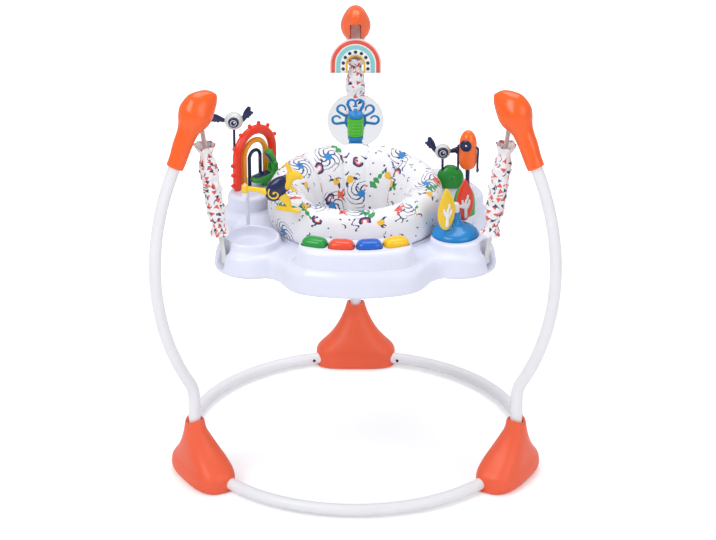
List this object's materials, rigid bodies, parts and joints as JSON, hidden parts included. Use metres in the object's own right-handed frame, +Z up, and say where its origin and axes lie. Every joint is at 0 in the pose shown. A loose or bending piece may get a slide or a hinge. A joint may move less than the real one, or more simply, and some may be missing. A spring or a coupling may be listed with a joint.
{
  "type": "baby jumper frame",
  "caption": "Free-standing baby jumper: floor ring on moulded feet, bowed uprights with caps, and a sprung toy tray with a turning padded seat.",
  "frame": {"origin": "middle of the footprint's bounding box, on the floor", "axes": "+Z up, -Y towards the keyboard at the front, +X to the right seen from the front"},
  "size_m": [0.8464, 0.8643, 0.8759],
  "materials": {
    "white_tube": "off-white powder coat, satin",
    "orange_gloss": "glossy moulded orange",
    "orange_satin": "satin moulded coral orange",
    "pad_rubber": "soft grey rubber",
    "black_button": "black satin",
    "steel": "bright zinc",
    "white_web": "woven webbing",
    "print_cloth": "gathered printed cloth",
    "plush": "short plush in coloured bands",
    "tray_white": "glossy pale lilac-white",
    "pcb": "board and black speaker",
    "seat_cloth": "padded woven cover with printed motifs",
    "green": "glossy green",
    "lime": "glossy lime",
    "red": "glossy red-orange",
    "blue": "glossy blue",
    "yellow": "glossy yellow",
    "amber": "glossy amber",
    "navy": "glossy navy",
    "white": "glossy white",
    "clear": "clear pale blue plastic"
  },
  "bodies": {
    "frame": {"ring_front": "white_tube", "ring_left": "white_tube", "ring_right": "white_tube", "foot_back": "orange_satin", "foot_left": "orange_satin", "foot_right": "orange_satin", "foot_pads": "pad_rubber", "foot_stubs": "white_tube", "upright_back": "white_tube", "upright_left": "white_tube", "upright_right": "white_tube", "snap_buttons": "black_button", "cap_back": "orange_gloss", "cap_left": "orange_gloss", "cap_right": "orange_gloss", "cap_pins": "steel", "upper_straps": "white_web", "springs": "steel", "sleeve_back": "print_cloth", "sleeve_left": "print_cloth", "sleeve_right": "print_cloth", "rainbow_tag": "plush"},
    "tray": {"tray_shell": "tray_white", "strap_bars": "steel", "lower_straps": "white_web", "keyboard_housing": "tray_white", "electronics": "pcb", "battery_box": "tray_white", "battery_door": "tray_white", "tray_screws": "steel", "toy_stations": "tray_white", "leaf_base": "blue", "arch_red": "red", "arch_amber": "amber", "arch_navy": "navy", "croc_body": "green", "hopper_arm": "tray_white", "shell_toy": "green", "drum_stand": "blue", "drum_disc": "clear"},
    "seat": {"seat_ring": "tray_white", "seat_roll": "seat_cloth", "seat_pocket": "seat_cloth"},
    "key_1": {"key_green": "green"},
    "key_2": {"key_red": "red"},
    "key_3": {"key_blue": "blue"},
    "key_4": {"key_yellow": "yellow"},
    "leaf_spinner": {"leaf_rotor": "white", "leaf_yellow": "yellow", "leaf_red": "red"},
    "jaw": {"croc_jaw": "green"},
    "left_bug": {"bug_left": "white", "bug_left_wings": "navy"},
    "hopper_figure": {"hopper": "yellow", "hopper_haunch": "navy"},
    "right_bug": {"bug_right": "white", "bug_right_wings": "navy"},
    "bean_figure": {"bean": "amber", "bean_trim": "navy"},
    "roller": {"drum": "lime"}
  },
  "joints": [
    {"name": "tray_bounce", "type": "slide", "parent": "frame", "child": "tray", "axis": [0, 0, 1], "range_m": [-0.09, 0.01], "stiffness_N_per_m": 1000, "springref_m": 0.04488, "deforming": ["springs", "sleeve_back", "sleeve_left", "sleeve_right"]},
    {"name": "seat_spin", "type": "hinge", "parent": "tray", "child": "seat", "pos_m": [0, -0.0545, 0.517], "axis": [0, 0, 1], "continuous": true},
    {"name": "key_1_press", "type": "slide", "parent": "tray", "child": "key_1", "axis": [0, 0, 1], "range_m": [-0.004, 0], "stiffness_N_per_m": 600, "springref_m": 0.001},
    {"name": "key_2_press", "type": "slide", "parent": "tray", "child": "key_2", "axis": [0, 0, 1], "range_m": [-0.004, 0], "stiffness_N_per_m": 600, "springref_m": 0.001},
    {"name": "key_3_press", "type": "slide", "parent": "tray", "child": "key_3", "axis": [0, 0, 1], "range_m": [-0.004, 0], "stiffness_N_per_m": 600, "springref_m": 0.001},
    {"name": "key_4_press", "type": "slide", "parent": "tray", "child": "key_4", "axis": [0, 0, 1], "range_m": [-0.004, 0], "stiffness_N_per_m": 600, "springref_m": 0.001},
    {"name": "leaf_spin", "type": "hinge", "parent": "tray", "child": "leaf_spinner", "pos_m": [0.20785, -0.1745, 0.588], "axis": [0, 0, 1], "continuous": true},
    {"name": "jaw_snap", "type": "hinge", "parent": "tray", "child": "jaw", "pos_m": [-0.17799, 0.06234, 0.597], "axis": [0.5736, -0.8192, 0], "range_deg": [0, 44]},
    {"name": "left_bug_wobble", "type": "hinge", "parent": "tray", "child": "left_bug", "pos_m": [-0.25936, 0.0399, 0.5593], "axis": [-0.7431, 0.6691, 0], "range_deg": [-8, 8], "stiffness_Nm_per_rad": 0.5},
    {"name": "hopper_swing", "type": "hinge", "parent": "tray", "child": "hopper_figure", "pos_m": [-0.2265, -0.21899, 0.65], "axis": [0, 0, 1], "range_deg": [-40, 0]},
    {"name": "right_bug_wobble", "type": "hinge", "parent": "tray", "child": "right_bug", "pos_m": [0.18698, 0.0428, 0.5973], "axis": [0, 1, 0], "range_deg": [-8, 8], "stiffness_Nm_per_rad": 0.2},
    {"name": "bean_nod", "type": "hinge", "parent": "tray", "child": "bean_figure", "pos_m": [0.23995, 0.01567, 0.5613], "axis": [0, 1, 0], "range_deg": [-8, 8], "stiffness_Nm_per_rad": 0.9},
    {"name": "roller_spin", "type": "hinge", "parent": "tray", "child": "roller", "pos_m": [0, 0.1715, 0.648], "axis": [0, 0, 1], "continuous": true}
  ]
}
